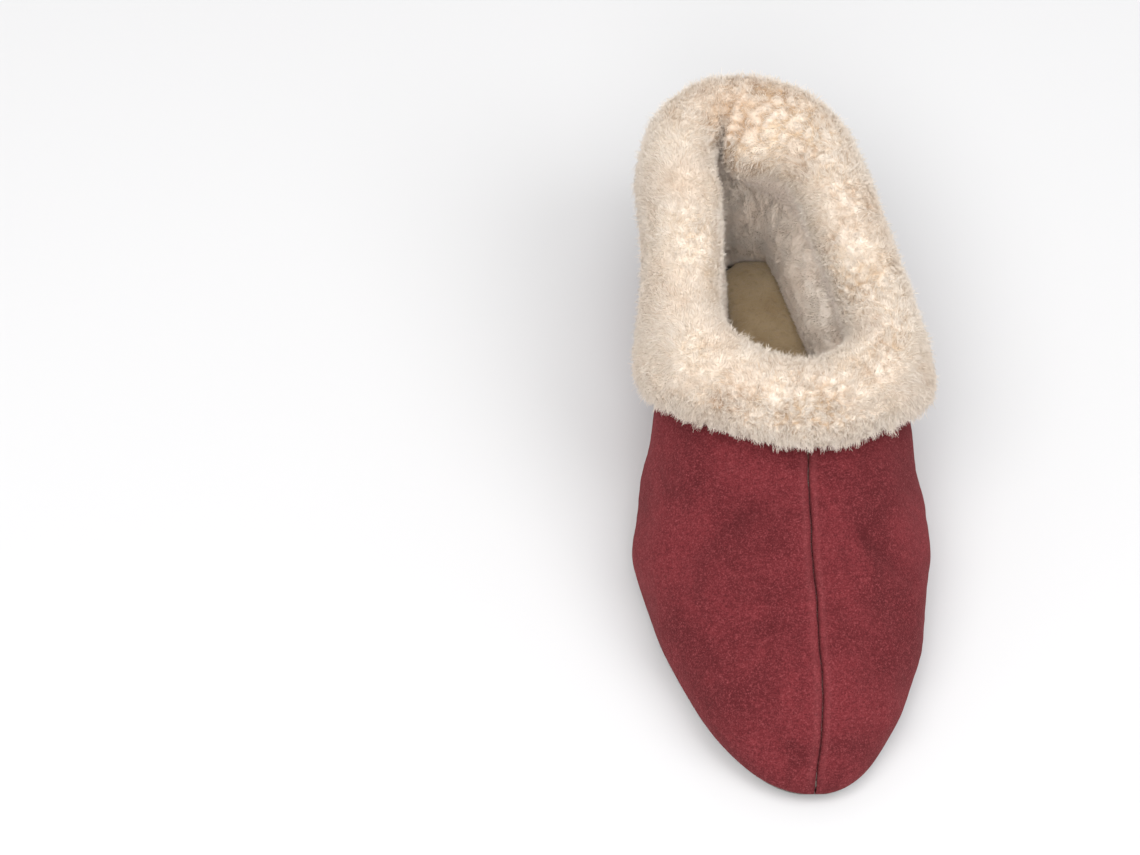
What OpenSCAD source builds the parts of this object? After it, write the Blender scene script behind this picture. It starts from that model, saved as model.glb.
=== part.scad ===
// Soft-soled moccasin slipper for the right foot: a suede upper in two halves, a shorn lambskin lining,
// a turned-down fleece collar and a cushioned footbed on a thin suede sole.
// The toe points to -Y and the big-toe side is +X. Every soft layer lies at a stated distance from one
// smooth form, the outer face of the upper, so that the layers nest without touching.

/* [Sole] */
// Length of the sole from heel to toe
sole_l = 254; // [240:1:268]
// Half width of the sole at the heel
heel_w = 36; // [34:0.5:38]
// How far the round heel end reaches along the sole
heel_l = 38; // [35:0.5:41]
// Half width of the sole at the ball, little-toe side
ball_outer = 60; // [56:0.5:62]
// Half width of the sole at the ball, big-toe side
ball_inner = 45.5; // [43:0.5:48]
// Where the ball lies, as a share of the way from the heel arc to the toe
ball_at = 0.58; // [0.55:0.01:0.62]
// How much narrower each side is at the waist
waist = 2; // [0:0.5:4]
// Thickness of the suede outsole
sole_t = 2.4; // [2:0.1:3]

/* [Upper] */
// Height of the toe end over the sole
nose_h = 20; // [19:0.5:24]
// Length over which the toe end rounds down to the sole
nose_l = 33; // [30:1:37]
// Rise of the vamp's centre seam towards the throat
vamp_slope = 0.365; // [0.34:0.005:0.4]
// How far the sides swell out over the sole's edge
bulge = 4.8; // [4:0.2:6]
// How far the suede turns in under its own side at the sole
tuck = 2.2; // [1.6:0.1:2.8]
// How far the toe end stands out over the sole
toe_over = 2.4; // [1.6:0.1:3]
// Where the opening starts at the front
throat_y = -4; // [-8:1:2]
// Height of the topline at the sides
top_side = 66; // [63:1:69]
// Height of the topline at the heel
top_heel = 81; // [77:1:85]
// Thickness of the suede
suede_t = 1.6; // [1.2:0.1:2]
// Thickness of the lining, skin and wool, round the foot's sides and heel
lining_t = 14; // [11:0.5:15]
// How much fuller the lining is halfway up the foot's sides
lining_swell = 4; // [0:0.5:5]
// Thickness of the lining at the toe
lining_toe_t = 6; // [5:0.5:7]

/* [Collar] */
// How far the collar is turned down over the suede
cuff_drop = 21; // [18:1:24]
// How much less it is turned down over the middle of the vamp
cuff_lift = 7.5; // [4:0.5:9]
// Height of the fold over the topline
crest_h = 19; // [15:0.5:21]
// Depth of the wool on the outer side
wool_outer = 13; // [11:0.5:15]
// Depth of the wool on the foot side
wool_inner = 16; // [14:0.5:17]
// How much further the wool bulges forward inside the heel, by its big-toe side
heel_fold = 17; // [8:0.5:18]
// Thickness of the collar's skin
hide_t = 1.2; // [0.8:0.1:1.4]

/* [Footbed] */
// Thickness of the foam pad
foam_t = 3.6; // [2:0.2:5]
// Thickness of the fibre board
board_t = 1.2; // [0.8:0.1:1.6]
// Thickness of the footbed's skin
footbed_hide_t = 1; // [0.8:0.1:1.4]
// Depth of the footbed's wool
footbed_wool_t = 7; // [5:0.5:8]

/* [Hidden] */

LATERAL = -1;          // little-toe side
MEDIAL = 1;            // big-toe side
y_heel = sole_l / 2 - heel_l;
y_toe = -sole_l / 2;
heel_share = 0.18;     // share of a half panel's run that goes round the heel arc
toe_stop = 0.985;      // the panels end just short of the toe's single point
vamp_stop = 0.97;      // and the thread of the centre seam a little before them
seam_half = 0.45;      // half the gap that a closing seam's thread lies in
sole_set = 1;          // the outsole stops this far inside the upper's lower edge
thread_r = 0.35;
thread_sides = 6;
clear = 0.1;           // between layers that lie on each other
base_z = sole_t + 2 * seam_half;   // where the upper's lower edge stands
section_n = 2.15;      // superellipse exponent of the cross-section
heel_n = 2.3;          // and of the heel arc in plan
heel_x = -5;           // the form's middle line bends to the little-toe side at the heel
tip_x = -3;            // and ends a little to the same side at the toe
toe_outer = [1.3, 2.1];    // superellipse exponents of the toe outline, little-toe side
toe_inner = [1.5, 2.2];    // and big-toe side
nose_n = 2.2;
swell_w = 40;          // half width of the sole from which the sides swell and tuck in fully
tuck_up = 5;           // section angle over which the suede turns in
over_rise = 5;         // height over which the toe end comes to stand out over the sole
over_hold = 6;         // height at which it starts to go back
over_fade = 16;        // and how much higher it is back
over_from = 0.78;      // share of a panel's run from which it does so
ref_h = 80;            // height at which pinch, flare and lean are stated
pinch = 0.12;          // narrowing of the heel's top, as a share of its width
flare = 0.10;          // widening of the sides by the throat
lean = -12;            // sideways set of the heel's top
slope_fade = 80;       // length before the heel arc over which the vamp's slope levels off
instep_rise = 40;      // extra height of the form behind the throat
instep_y = [-10, 85];  // where that rise starts and ends
side_by = 0.6;         // share of the topline's run from the throat at which it is as high as the side
rise_from = 0.45;      // and from which it rises to the heel
lining_drop = 20;      // the lining stops this far under the topline
lining_out = suede_t + 1;          // lining's outer face, leaving room for the heel tape
lining_thins = [0.5, 0.9];         // the part of a panel's run over which the lining grows thinner
lining_lean = 5;       // how far the lining's inner face leans in over its foot
footbed_inset = lining_out + lining_t - tuck + lining_lean;    // from the sole's outline to the footbed's
toe_room = 5;          // extra inset of the footbed at the toe
lift_wide = 0.35;      // share of the way from the throat over which the collar's edge hangs that much less
fold_at = 0.92;        // the bulge in the heel: its middle, as a share of the way from the throat
fold_wide = 0.13;      // its half width, as a share of that way
fold_way = [-0.7, -0.7, 0];        // and the way it leans
fold_start = 54;       // angle round the fold at which it starts
fold_run = 90;         // and over which it grows
fold_fade = 0.5;       // share of it that is lost again down to the lining
slot = 0.6;            // between the suede's topline and the folded skin
tape_t = 0.4;
tape_run = 0.035;      // half the tape's width, as a share of a panel's run
panel_rows = 20;       // rows along the opening, and then along the vamp
vamp_rows = 15;
panel_cols = 11;
ring_rows = 21;        // rows of each side of the collar

suede = [0.52, 0.21, 0.235];
suede_dark = [0.36, 0.13, 0.15];
sole_grey = [0.52, 0.52, 0.50];
cream = [0.93, 0.86, 0.77];
shorn = [0.85, 0.80, 0.74];
skin = [0.80, 0.73, 0.62];
foam = [0.90, 0.88, 0.80];
fibre = [0.62, 0.52, 0.40];
thread_tan = [0.72, 0.60, 0.50];

// ---------------------------------------------------------------- the form

function clamp01(t) = min(max(t, 0), 1);
function smooth(t) = let (k = clamp01(t)) k * k * (3 - 2 * k);
function ease(t) = let (k = clamp01(t)) k * k * k * (k * (6 * k - 15) + 10);
function unit(v) = v / norm(v);
function mix(a, b, t) = a + (b - a) * t;

// Share of the way from the heel arc's centre to the toe
function along(y) = clamp01((y_heel - y) / (y_heel - y_toe));

// Half width of the sole at y, on one side
function edge_w(y, side) =
    let (
        t = along(y),
        ball = side == LATERAL ? ball_outer : ball_inner,
        toe = side == LATERAL ? toe_outer : toe_inner,
        k = t / ball_at,
        f = clamp01((t - ball_at) / (1 - ball_at))
    )
    t < ball_at
        ? mix(heel_w, ball, smooth(k)) - waist * pow(sin(180 * k), 2)
        : ball * pow(max(1 - pow(f, toe[0]), 0), 1 / toe[1]);

// Height of the form's top over its base at y
function ridge_h(y) =
    let (
        u = max(y - y_toe, 0),
        f = clamp01(1 - u / nose_l),
        nose = pow(max(1 - pow(f, nose_n), 0), 1 / nose_n),
        late = max(y - y_heel + slope_fade, 0),
        level = u - late * late / slope_fade / 2
    )
    (nose_h + vamp_slope * level) * nose
        + instep_rise * smooth((y - instep_y[0]) / (instep_y[1] - instep_y[0]));

function middle_x(y) = let (t = (y_heel - y) / (y_heel - y_toe)) tip_x * t * t + heel_x * pow(1 - t, 2);

// A panel runs from the heel's back, q = 0, round the heel arc and along the side to the toe, q = 1
function run_y(q) = y_heel + (y_toe - y_heel) * sin(90 * clamp01((q - heel_share) / (1 - heel_share)));
function run_turn(q) = 90 * clamp01(q / heel_share);
function run_of_y(y) = heel_share + (1 - heel_share) * asin(along(y)) / 90;

// A point of the form: up is the angle of the section, 0 at the sole's edge and 90 at the top
function form(q, up, side) =
    let (
        y = run_y(q),
        turn = run_turn(q),
        w = edge_w(y, side),
        arc = 1 / pow(pow(sin(turn) / heel_w, heel_n) + pow(cos(turn) / heel_l, heel_n), 1 / heel_n),
        e = 2 / section_n,
        swell = bulge * sin(2 * up) - tuck * exp(-up / tuck_up),
        out = (q < heel_share ? arc : w) * pow(max(cos(up), 0), e) + smooth(w / swell_w) * swell,
        z = base_z + ridge_h(y) * pow(max(sin(up), 0), e),
        over = smooth((z - base_z) / over_rise) * (1 - smooth((z - base_z - over_hold) / over_fade))
            * smooth((q - over_from) / (1 - over_from)),
        yy = y + out * cos(turn) - toe_over * over,
        k = z / ref_h,
        wide = 1 - pinch * k * smooth((yy - 10) / 90) + flare * k * exp(-pow((yy - 15) / 35, 2))
    )
    [middle_x(yy) + side * (out * sin(turn) * wide + seam_half) + lean * k * smooth((yy + 10) / 120), yy, z];

// The form's outward normal
function form_n(q, up, side) =
    let (
        dq = 0.001,
        du = 0.2,
        run = form(min(q + dq, 0.9999), up, side) - form(max(q - dq, 0), up, side),
        rise = form(q, min(up + du, 90), side) - form(q, max(up - du, 0), side)
    )
    -side * unit(cross(run, rise));

// A point at a distance d outside the form, or inside it where d is negative; no layer dips under the
// upper's lower edge
function skin_at(q, up, side, d) =
    let (p = form(q, up, side) + form_n(q, up, side) * d)
    [p[0], p[1], max(p[2], base_z)];

// The section angle at which the form reaches height z
function up_at(q, z) = asin(pow(clamp01((z - base_z) / ridge_h(run_y(q))), section_n / 2));

// The line round the opening that lies drop below the topline, and starts drop in front of the throat.
// share runs from 0 at the throat to 1 at the heel's back; the result is [q, up]
function line_at(share, drop) =
    let (
        y0 = throat_y - drop,
        q0 = run_of_y(y0),
        q = q0 * cos(90 * share),
        k = clamp01((q0 - q) / (q0 - heel_share)),
        z0 = base_z + ridge_h(y0),
        side_z = mix(z0, top_side - drop, ease(k / side_by)),
        z = side_z + (top_heel - top_side) * ease((k - rise_from) / (1 - rise_from))
    )
    [q, share <= 0 ? 90 : up_at(q, z)];

// The share of row i of n from the throat to the heel, with the rows closer together round the heel
function share_of(i, n) = 1 - pow(1 - i / n, 1.3);

// ---------------------------------------------------------------- layers

// A closed solid between two grids of points, a outside b
module slab(a, b, flip = false) {
    rows = len(a);
    cols = len(a[0]);
    size = rows * cols;
    function at(i, j) = i * cols + j;
    function quad(p, q, r, s) = flip ? [[p, r, q], [p, s, r]] : [[p, q, r], [p, r, s]];
    outer = [for (i = [0:rows - 2], j = [0:cols - 2])
        each quad(at(i, j), at(i + 1, j), at(i + 1, j + 1), at(i, j + 1))];
    inner = [for (i = [0:rows - 2], j = [0:cols - 2])
        each quad(size + at(i, j), size + at(i, j + 1), size + at(i + 1, j + 1), size + at(i + 1, j))];
    sides = [for (i = [0:rows - 2], j = [0, cols - 1])
        each j == 0
            ? quad(at(i, j), size + at(i, j), size + at(i + 1, j), at(i + 1, j))
            : quad(at(i, j), at(i + 1, j), size + at(i + 1, j), size + at(i, j))];
    ends = [for (j = [0:cols - 2], i = [0, rows - 1])
        each i == 0
            ? quad(at(i, j), at(i, j + 1), size + at(i, j + 1), size + at(i, j))
            : quad(at(i, j), size + at(i, j), size + at(i, j + 1), at(i, j + 1))];
    polyhedron(points = concat([for (r = a) each r], [for (r = b) each r]),
               faces = concat(outer, inner, sides, ends));
}

// [q, top angle] of each row of a half panel whose top edge is the line drop below the topline
function panel_runs(drop) =
    let (q0 = run_of_y(throat_y - drop))
    concat(
        [for (i = [panel_rows:-1:0]) line_at(share_of(i, panel_rows), drop)],
        [for (i = [1:vamp_rows]) [mix(q0, toe_stop, i / vamp_rows), 90]]
    );

// d(q, k) is the layer's distance from the form, k being the share of the way up its side
function panel_grid(side, drop, d) =
    [for (r = panel_runs(drop))
        [for (j = [0:panel_cols]) let (k = j / panel_cols) skin_at(r[0], r[1] * k, side, d(r[0], k))]];

module panel(side, drop, outer_d, inner_d) {
    slab(panel_grid(side, drop, outer_d), panel_grid(side, drop, inner_d), flip = side == LATERAL);
}

// Between the topline, k = 0, and the line drop below it, k = 1
function leaf(share, side, drop, k, d) =
    let (p = mix(line_at(share, 0), line_at(share, drop), k))
    skin_at(p[0], p[1], side, d);

// Round the fold over the topline: a goes from 0, outside, over the crest to 180, inside
function topline(share, side) = let (t = line_at(clamp01(share), 0)) form(t[0], t[1], side);
function fold(share, side, a, outer_d, inner_d, h) =
    let (
        t = line_at(share, 0),
        n = form_n(t[0], t[1], side),
        run = topline(share + 0.003, side) - topline(share - 0.003, side),
        rise = -side * unit(cross(run, n)),
        mid = (outer_d - inner_d) / 2,
        half = (outer_d + inner_d) / 2
    )
    topline(share, side) + n * (mid + half * cos(a)) + rise * (h * sin(a));

// One section of the collar, from the turned-down edge over the crest to the lining.
// edge lists [share of the drop, share of the depth] down the outer leaf; more is the bulge in the heel
function collar_section(share, side, edge, outer_d, inner_d, h, more) =
    let (
        drop = cuff_drop - cuff_lift * exp(-pow(share / lift_wide, 2)),
        away = side == MEDIAL ? share - fold_at : 2 - fold_at - share,
        push = more * exp(-pow(away / fold_wide, 2)) * fold_way
    )
    concat(
        [for (e = edge) leaf(share, side, drop, e[0], outer_d * e[1])],
        [for (a = [0:18:180])
            fold(share, side, a, outer_d, inner_d, h) + push * smooth((a - fold_start) / fold_run)],
        [for (k = [0.4, 0.84]) leaf(share, side, lining_drop, k, -inner_d) + push * (1 - k * fold_fade)]
    );
function collar_side(side, i, edge, outer_d, inner_d, h, more) =
    collar_section(share_of(i, ring_rows), side, edge, outer_d, inner_d, h, more);
function collar_grid(edge, outer_d, inner_d, h, more = 0) =
    concat(
        [for (i = [ring_rows:-1:0]) collar_side(LATERAL, i, edge, outer_d, inner_d, h, more)],
        [for (i = [0:ring_rows]) collar_side(MEDIAL, i, edge, outer_d, inner_d, h, more)]
    );
// A thin layer of the folded skin, off outside the suede on both of its faces
straight_edge = [[1, 1], [0.92, 1], [0.8, 1], [0.6, 1], [0.4, 1], [0.2, 1]];
round_edge = [[1, 0.35], [1.05, 0.6], [1.02, 0.85], [0.88, 0.97], [0.6, 1], [0.3, 1]];
function skin_layer(off) = collar_grid(straight_edge, off, suede_t + off, off + 1);
wool_face = collar_grid(round_edge, wool_outer, wool_inner, crest_h, heel_fold);

// ---------------------------------------------------------------- flat layers

// The sole's outline, moved in by inset, and by more towards the toe where extra is given
function plan_edge(q, side) = let (p = form(q, 0, side)) [p[0], p[1]];
function plan_in(q, side, inset, extra) =
    let (
        p = plan_edge(q, side),
        run = plan_edge(min(q + 0.002, 0.9999), side) - plan_edge(max(q - 0.002, 0), side),
        n = unit([run[1], -run[0]]) * side
    )
    p + n * (inset + extra * smooth((q - 0.75) / 0.25));
plan_steps = 30;
function outline(inset, extra = 0) =
    concat(
        [for (i = [0:plan_steps]) plan_in(toe_stop * i / plan_steps, LATERAL, inset, extra)],
        [for (i = [plan_steps:-1:0]) plan_in(toe_stop * i / plan_steps, MEDIAL, inset, extra)]
    );
module layer(inset, extra, z, t) {
    translate([0, 0, z]) linear_extrude(t) polygon(outline(inset, extra));
}

// ---------------------------------------------------------------- threads

// A round thread through a list of points; a closed one joins its end to its start
module thread(path, closed = false) {
    count = len(path);
    function nb(i) = closed ? (i + count) % count : min(max(i, 0), count - 1);
    function ring(i) =
        let (
            t = unit(path[nb(i + 1)] - path[nb(i - 1)]),
            ref = abs(t[2]) > 0.8 ? [1, 0, 0] : [0, 0, 1],
            u = unit(cross(t, ref)),
            v = cross(t, u)
        )
        [for (k = [0:thread_sides - 1])
            path[i] + thread_r * (u * cos(360 * k / thread_sides) + v * sin(360 * k / thread_sides))];
    function at(i, k) = nb(i) * thread_sides + k % thread_sides;
    last = closed ? count - 1 : count - 2;
    wall = [for (i = [0:last], k = [0:thread_sides - 1])
        each [[at(i, k), at(i + 1, k), at(i + 1, k + 1)], [at(i, k), at(i + 1, k + 1), at(i, k + 1)]]];
    end = count - 1;
    caps = closed ? [] : [for (k = [1:thread_sides - 2])
        each [[at(0, 0), at(0, k), at(0, k + 1)], [at(end, 0), at(end, k + 1), at(end, k)]]];
    polyhedron(points = [for (i = [0:count - 1]) each ring(i)], faces = concat(wall, caps));
}

// Halfway between the two sides' points, inside the closing gap
function between(q, up, d) = (skin_at(q, up, LATERAL, d) + skin_at(q, up, MEDIAL, d)) / 2;

// ---------------------------------------------------------------- placing

// The whole is moved so that its box is centred over the origin
grown = concat(
    outline(sole_set),
    [for (side = [LATERAL, MEDIAL], r = panel_grid(side, 0, function(q, k) 0)) each r],
    [for (r = wool_face) each r]
);
xs = [for (p = grown) p[0]];
ys = [for (p = grown) p[1]];
module placed() translate([-(min(xs) + max(xs)) / 2, -(min(ys) + max(ys)) / 2, 0]) children();

// ---------------------------------------------------------------- sub-parts

foam_z = sole_t + clear;
board_z = foam_z + foam_t + clear;
footbed_z = board_z + board_t + clear;
pile_z = footbed_z + footbed_hide_t + clear;

module outsole() { color(sole_grey) placed() layer(sole_set, 0, 0, sole_t); }
module midsole_foam() { color(foam) placed() layer(footbed_inset, toe_room, foam_z, foam_t); }
module insole_board() { color(fibre) placed() layer(footbed_inset, toe_room, board_z, board_t); }
module footbed_hide() { color(skin) placed() layer(footbed_inset, toe_room, footbed_z, footbed_hide_t); }
module footbed_wool() { color(shorn) placed() layer(footbed_inset, toe_room, pile_z, footbed_wool_t); }

module upper(side) { color(suede) placed() panel(side, 0, function(q, k) 0, function(q, k) -suede_t); }
module upper_lateral() { upper(LATERAL); }
module upper_medial() { upper(MEDIAL); }

function pile_t(q, k) =
    let (thin = smooth((q - lining_thins[0]) / (lining_thins[1] - lining_thins[0])))
    mix(lining_t + lining_swell * pow(sin(180 * k), 2), lining_toe_t, thin);
module lining(side) {
    color(shorn) placed()
        panel(side, lining_drop, function(q, k) -lining_out, function(q, k) -lining_out - pile_t(q, k));
}
module lining_lateral() { lining(LATERAL); }
module lining_medial() { lining(MEDIAL); }

module collar_hide() { color(skin) placed() slab(skin_layer(slot + hide_t), skin_layer(slot), flip = true); }
module collar_wool() {
    color(cream) placed() slab(wool_face, skin_layer(slot + hide_t + clear), flip = true);
}

// Flat tape inside the back seam, from just over the sole to the lining's edge
tape_d = suede_t + 0.25;
function tape_row(q, side, d) =
    [for (k = [0.05:0.09:0.95]) skin_at(q, line_at(1, lining_drop)[1] * k, side, -d)];
function tape_grid(d) =
    [for (k = [-1, -0.5, 0.5, 1]) tape_row(tape_run * abs(k), k < 0 ? LATERAL : MEDIAL, d)];
module heel_tape() { color(skin) placed() slab(tape_grid(tape_d), tape_grid(tape_d + tape_t)); }

module vamp_seam_thread() {
    q0 = run_of_y(throat_y);
    color(suede_dark) placed()
        thread([for (i = [0:26]) between(mix(q0, vamp_stop, i / 26), 90, -suede_t / 2)]);
}
module heel_seam_thread() {
    top = line_at(1, 0)[1];
    color(suede_dark) placed() thread([for (k = [0.03:0.0935:0.97]) between(0, top * k, -suede_t / 2)]);
}
module sole_seam_thread() {
    function hold(q, side) = let (p = plan_in(q, side, suede_t / 2, 0)) [p[0], p[1], sole_t + seam_half];
    color(sole_grey) placed() thread(concat(
        [for (i = [0:34]) hold(toe_stop * (i + 0.5) / 35, LATERAL)],
        [for (i = [34:-1:0]) hold(toe_stop * (i + 0.5) / 35, MEDIAL)]
    ), closed = true);
}
module collar_seam_thread() {
    function hold(share, side) = leaf(share, side, lining_drop, 0.92, -lining_out - 1);
    color(thread_tan) placed() thread(concat(
        [for (i = [20:-1:0]) hold((i + 0.5) / 21, LATERAL)],
        [for (i = [0:20]) hold((i + 0.5) / 21, MEDIAL)]
    ), closed = true);
}
module collar_join_thread() {
    off = slot + hide_t / 2;
    function both(f) = (f[0] + f[1]) / 2;
    function sides(k, d, drop) = both([for (s = [LATERAL, MEDIAL]) leaf(1, s, drop, k, d)]);
    function over(a) = both([for (s = [LATERAL, MEDIAL]) fold(1, s, a, off, suede_t + off, off + 1)]);
    color(thread_tan) placed() thread(concat(
        [for (k = [0.95:-0.15:0.2]) sides(k, off, cuff_drop)],
        [for (a = [15:30:165]) over(a)],
        [for (k = [0.3, 0.55, 0.8]) sides(k, -suede_t - off, lining_drop)]
    ));
}

outsole();
midsole_foam();
insole_board();
footbed_hide();
footbed_wool();
upper_lateral();
upper_medial();
lining_lateral();
lining_medial();
collar_hide();
collar_wool();
heel_tape();
vamp_seam_thread();
heel_seam_thread();
sole_seam_thread();
collar_seam_thread();
collar_join_thread();
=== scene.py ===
"""Looks for a fleece-lined suede moccasin slipper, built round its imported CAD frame.

Lengths are in mm and angles in degrees while shapes are worked out, as in the part's own source; a mesh is
written in metres. The same smooth form as in the part, the outer face of the suede, carries every layer.
"""

import math

import bpy
import numpy as np
from mathutils import Matrix, Vector
from mathutils.kdtree import KDTree


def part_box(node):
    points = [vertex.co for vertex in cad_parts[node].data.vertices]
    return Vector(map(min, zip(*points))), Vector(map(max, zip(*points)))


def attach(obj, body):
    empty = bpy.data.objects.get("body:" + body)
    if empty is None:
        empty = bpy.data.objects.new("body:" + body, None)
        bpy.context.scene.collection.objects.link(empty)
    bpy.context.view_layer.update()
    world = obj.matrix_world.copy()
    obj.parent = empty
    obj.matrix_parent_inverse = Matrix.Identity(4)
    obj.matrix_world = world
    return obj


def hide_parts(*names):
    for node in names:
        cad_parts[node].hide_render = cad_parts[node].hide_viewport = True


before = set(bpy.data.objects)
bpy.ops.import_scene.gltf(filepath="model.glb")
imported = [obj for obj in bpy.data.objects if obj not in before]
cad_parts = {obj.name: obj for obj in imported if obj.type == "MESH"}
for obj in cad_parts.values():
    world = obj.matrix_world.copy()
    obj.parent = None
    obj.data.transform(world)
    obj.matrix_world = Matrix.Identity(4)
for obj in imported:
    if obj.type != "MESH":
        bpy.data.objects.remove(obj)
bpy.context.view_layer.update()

# ---- sizes of the part, in mm

MM = 0.001
LATERAL, MEDIAL = -1, 1                 # little-toe side, big-toe side
SOLE_L, SOLE_T, SOLE_SET, TOE_SET = 254, 2.4, 1, 1.2
HEEL_W, HEEL_L, HEEL_N, HEEL_X, TIP_X = 36, 38, 2.3, -5, -3
BALL = {LATERAL: 60, MEDIAL: 45.5}      # half width at the ball
TOE = {LATERAL: (1.3, 2.1), MEDIAL: (1.5, 2.2)}     # superellipse exponents of the toe's outline
BALL_AT, WAIST = 0.58, 2
NOSE_H, NOSE_L, NOSE_N, VAMP_SLOPE = 20, 33, 2.2, 0.365
SLOPE_FADE, INSTEP_RISE, INSTEP_Y = 80, 40, (-10, 85)
SECTION_N, BULGE, SWELL_W = 2.15, 4.8, 40
TUCK, TUCK_UP = 2.2, 5
TOE_OVER, OVER_RISE, OVER_HOLD, OVER_FADE, OVER_FROM = 2.4, 5, 6, 16, 0.78
REF_H, PINCH, FLARE, LEAN = 80, 0.12, 0.10, -12
PINCH_Y, FLARE_Y, LEAN_Y = (10, 90), (15, 35), (-10, 120)       # where each starts or lies, and its length
THROAT_Y, TOP_SIDE, TOP_HEEL, SIDE_BY, RISE_FROM = -4, 66, 81, 0.6, 0.45
SEAM_HALF, HEEL_SHARE = 0.45, 0.18
SUEDE_T, LINING_T, LINING_TOE_T, LINING_DROP = 1.6, 14, 6, 20
LINING_SWELL, LINING_THINS = 4, (0.5, 0.9)     # halfway up the sides; along a panel's run
CUFF_DROP, CUFF_LIFT, LIFT_WIDE, CREST_H, WOOL_OUTER, WOOL_INNER = 21, 7.5, 0.35, 19, 13, 16
SKIN_OFF = 1.9                          # outer face of the collar's skin, over the suede
HEEL_FOLD, FOLD_AT, FOLD_WIDE = 17, 0.92, 0.13      # the wool bulges in at the heel, by the big-toe side
FOLD_START, FOLD_RUN, FOLD_FADE = 54, 90, 0.5
FOLD_WAY = np.array([-0.7, -0.7, 0])
CREASE, CREASE_AT, CREASE_WIDE = 0.4, -0.955, 0.022     # share of the wool's depth lost at the join
SLUMP, SLUMP_AT = 9, 0.13               # the lining's sag by the heel's big-toe side, and where on q
FOOTBED_INSET, TOE_ROOM, PILE_Z = 19.4, 5, 8.6
PANEL_STOP = 0.985                      # hidden pieces end short of the toe's single point

BASE_Z = SOLE_T + 2 * SEAM_HALF
LINING_OUT = SUEDE_T + 1
Y_HEEL = SOLE_L / 2 - HEEL_L
Y_TOE = -SOLE_L / 2

rng = np.random.default_rng(7)


# ---- the form

def smooth(t):
    t = np.clip(t, 0, 1)
    return t * t * (3 - 2 * t)


def ease(t):
    t = np.clip(t, 0, 1)
    return t**3 * (t * (6 * t - 15) + 10)


def bell(t):
    """1 in the middle, and nearly 0 from t = 2 on."""
    return np.exp(-(t**2))


def unit(v):
    return v / np.maximum(np.linalg.norm(v, axis=-1, keepdims=True), 1e-9)


def dot(a, b):
    return (a * b).sum(-1, keepdims=True)


def sin(degrees):
    return np.sin(np.radians(degrees))


def cos(degrees):
    return np.cos(np.radians(degrees))


def along(y):
    return np.clip((Y_HEEL - y) / (Y_HEEL - Y_TOE), 0, 1)


def edge_w(y, side):
    """Half width of the sole at y, on one side."""
    t = along(y)
    k = t / BALL_AT
    back = HEEL_W + (BALL[side] - HEEL_W) * smooth(k) - WAIST * np.where(k < 1, sin(180 * k), 0) ** 2
    f = np.clip((t - BALL_AT) / (1 - BALL_AT), 0, 1)
    p, q = TOE[side]
    return np.where(t < BALL_AT, back, BALL[side] * np.maximum(1 - f**p, 0) ** (1 / q))


def ridge_h(y):
    """Height of the form's top over its base at y."""
    u = np.maximum(y - Y_TOE, 0)
    nose = np.maximum(1 - np.clip(1 - u / NOSE_L, 0, 1) ** NOSE_N, 0) ** (1 / NOSE_N)
    lift = INSTEP_RISE * smooth((y - INSTEP_Y[0]) / (INSTEP_Y[1] - INSTEP_Y[0]))
    level = u - np.maximum(y - Y_HEEL + SLOPE_FADE, 0) ** 2 / SLOPE_FADE / 2
    return (NOSE_H + VAMP_SLOPE * level) * nose + lift


def run_y(q):
    return Y_HEEL + (Y_TOE - Y_HEEL) * sin(90 * np.clip((q - HEEL_SHARE) / (1 - HEEL_SHARE), 0, 1))


def run_of_y(y):
    return HEEL_SHARE + (1 - HEEL_SHARE) * np.degrees(np.arcsin(along(y))) / 90


def form(q, up, side):
    """A point of the form: q runs from the heel's back to the toe, up from the sole's edge to the top."""
    q, up = np.broadcast_arrays(np.asarray(q, float), np.asarray(up, float))
    y = run_y(q)
    turn = 90 * np.clip(q / HEEL_SHARE, 0, 1)
    w = edge_w(y, side)
    arc = ((sin(turn) / HEEL_W) ** HEEL_N + (np.maximum(cos(turn), 0) / HEEL_L) ** HEEL_N) ** (-1 / HEEL_N)
    e = 2 / SECTION_N
    swell = BULGE * sin(2 * up) - TUCK * np.exp(-up / TUCK_UP)
    out = np.where(q < HEEL_SHARE, arc, w) * np.maximum(cos(up), 0) ** e + smooth(w / SWELL_W) * swell
    z = BASE_Z + ridge_h(y) * np.maximum(sin(up), 0) ** e
    over = smooth((z - BASE_Z) / OVER_RISE) * (1 - smooth((z - BASE_Z - OVER_HOLD) / OVER_FADE))
    over = over * smooth((q - OVER_FROM) / (1 - OVER_FROM))
    yy = y + out * cos(turn) - TOE_OVER * over
    k = z / REF_H
    pinch, flare = smooth((yy - PINCH_Y[0]) / PINCH_Y[1]), bell((yy - FLARE_Y[0]) / FLARE_Y[1])
    wide = 1 - PINCH * k * pinch + FLARE * k * flare
    t = (Y_HEEL - yy) / (Y_HEEL - Y_TOE)
    middle = TIP_X * t * t + HEEL_X * (1 - t) ** 2
    lean = LEAN * k * smooth((yy - LEAN_Y[0]) / LEAN_Y[1])
    x = middle + side * (out * sin(turn) * wide + SEAM_HALF) + lean
    return np.stack([x, yy, z], -1)


def form_n(q, up, side):
    """The form's outward normal."""
    q, up = np.broadcast_arrays(np.asarray(q, float), np.asarray(up, float))
    run = form(np.minimum(q + 0.001, 0.9999), up, side) - form(np.maximum(q - 0.001, 0), up, side)
    rise = form(q, np.minimum(up + 0.2, 90), side) - form(q, np.maximum(up - 0.2, 0), side)
    return -side * unit(np.cross(run, rise))


def skin_at(q, up, side, d):
    """A point at a distance d outside the form, or inside it where d is negative."""
    p = form(q, up, side) + form_n(q, up, side) * np.asarray(d, float)[..., None]
    p[..., 2] = np.maximum(p[..., 2], BASE_Z)
    return p


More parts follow.
